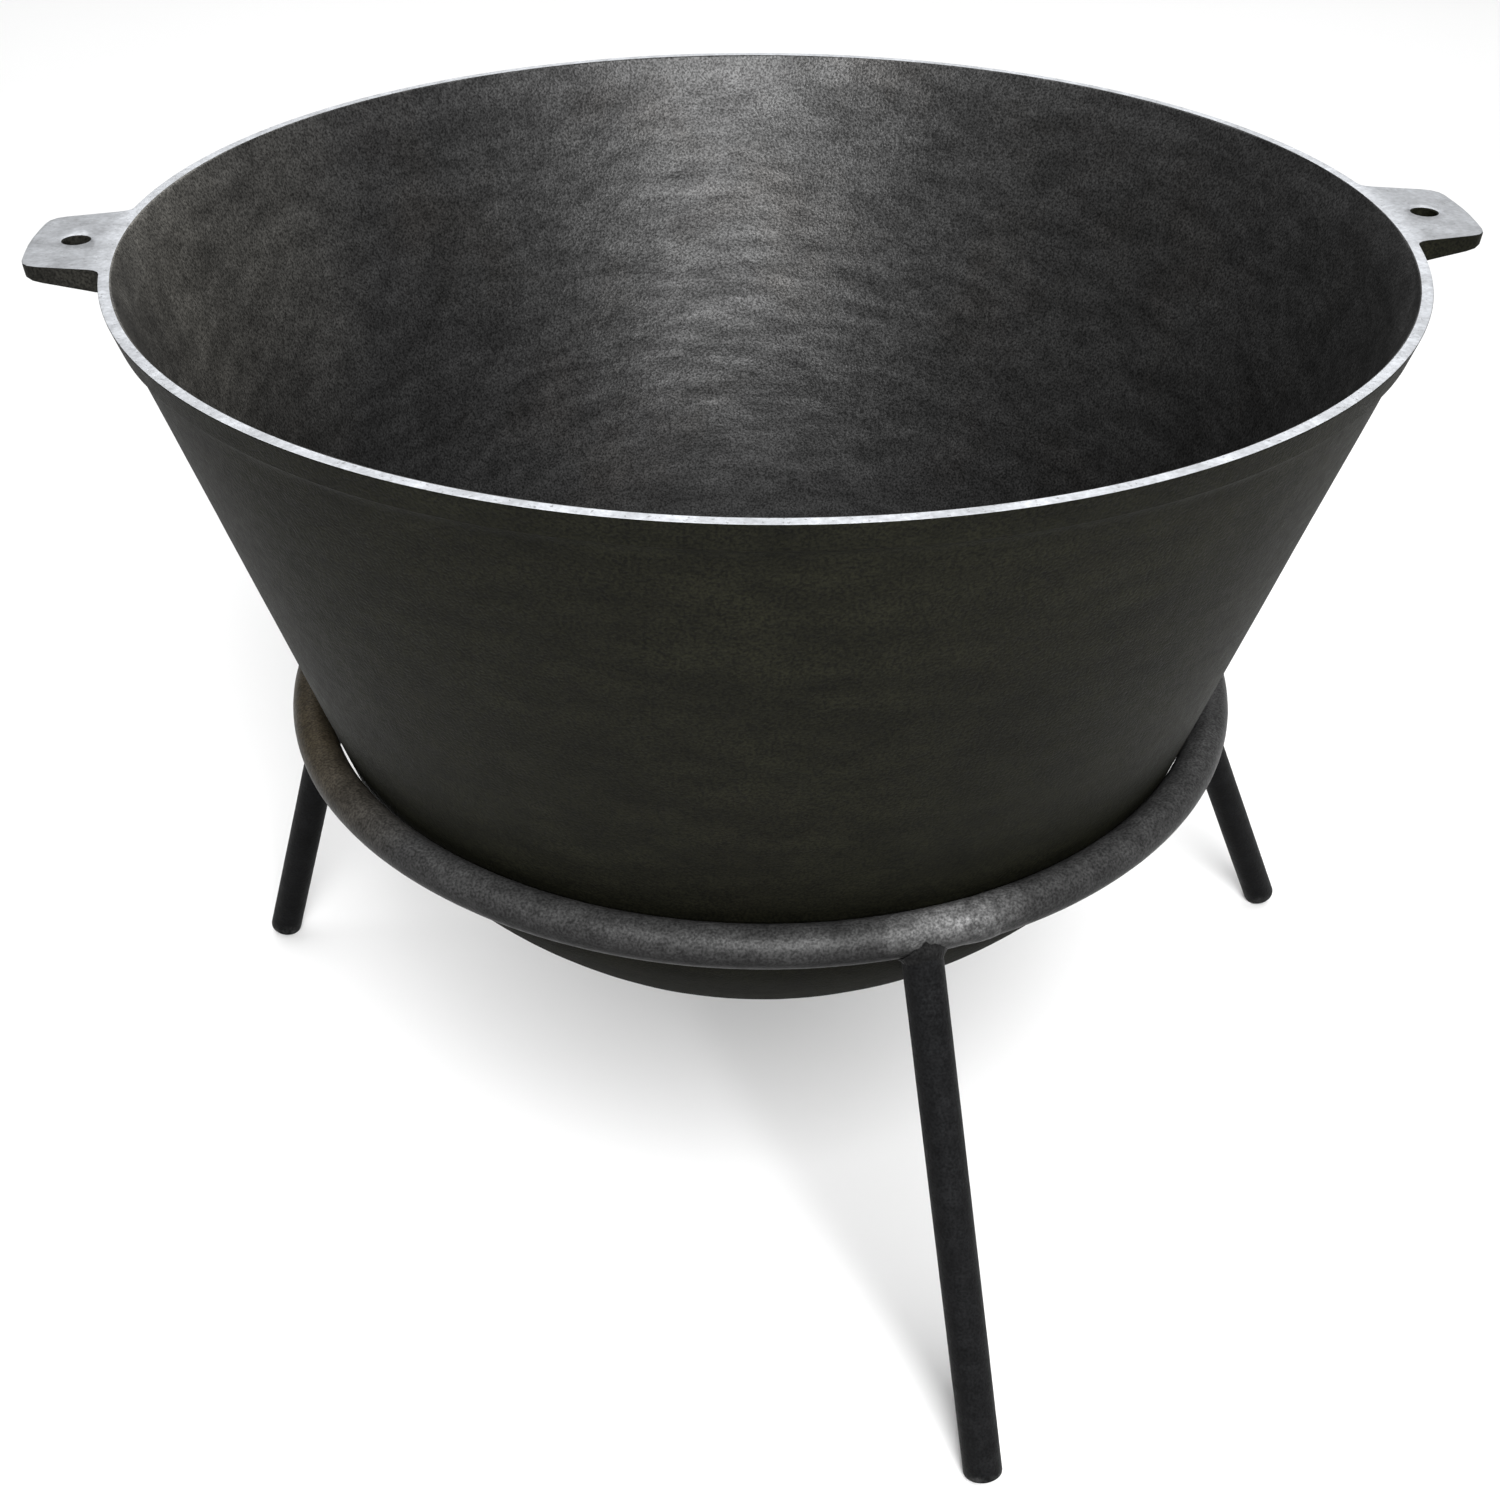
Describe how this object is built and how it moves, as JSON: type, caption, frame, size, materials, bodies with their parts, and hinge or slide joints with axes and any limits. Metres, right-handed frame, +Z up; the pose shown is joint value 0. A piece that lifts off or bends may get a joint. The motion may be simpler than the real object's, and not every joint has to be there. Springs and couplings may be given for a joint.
{
  "type": "coal forge",
  "caption": "Round-bottomed cast-iron fire bowl with drilled ears, standing loose in a low round-bar ring stand with splayed legs.",
  "frame": {"origin": "on the ground, under the middle of the overall box; the axis of the bowl and of the ring stands 8.6 mm towards -X and 19.4 mm towards +Y from it", "axes": "+Z up out of the bowl's mouth, X along the line through the two ears, which each stand one degree towards -Y of it, -Y towards the front leg"},
  "size_m": [0.6884, 0.6384, 0.5],
  "materials": {
    "bowl_iron": "as cast, blackened, with a machined rim",
    "ring_bar": "dark mill scale",
    "leg_bar": "matt black mill scale",
    "weld_metal": "as welded, blackened"
  },
  "bodies": {
    "stand": {"stand_ring": "ring_bar", "ring_weld": "weld_metal", "leg_front": "leg_bar", "leg_left": "leg_bar", "leg_right": "leg_bar", "weld_front": "weld_metal", "weld_left": "weld_metal", "weld_right": "weld_metal"},
    "bowl": {"bowl": "bowl_iron"}
  },
  "joints": [
    {"name": "bowl_lift", "type": "slide", "parent": "stand", "child": "bowl", "axis": [0, 0, 1], "range_m": [0, 0.25]}
  ]
}
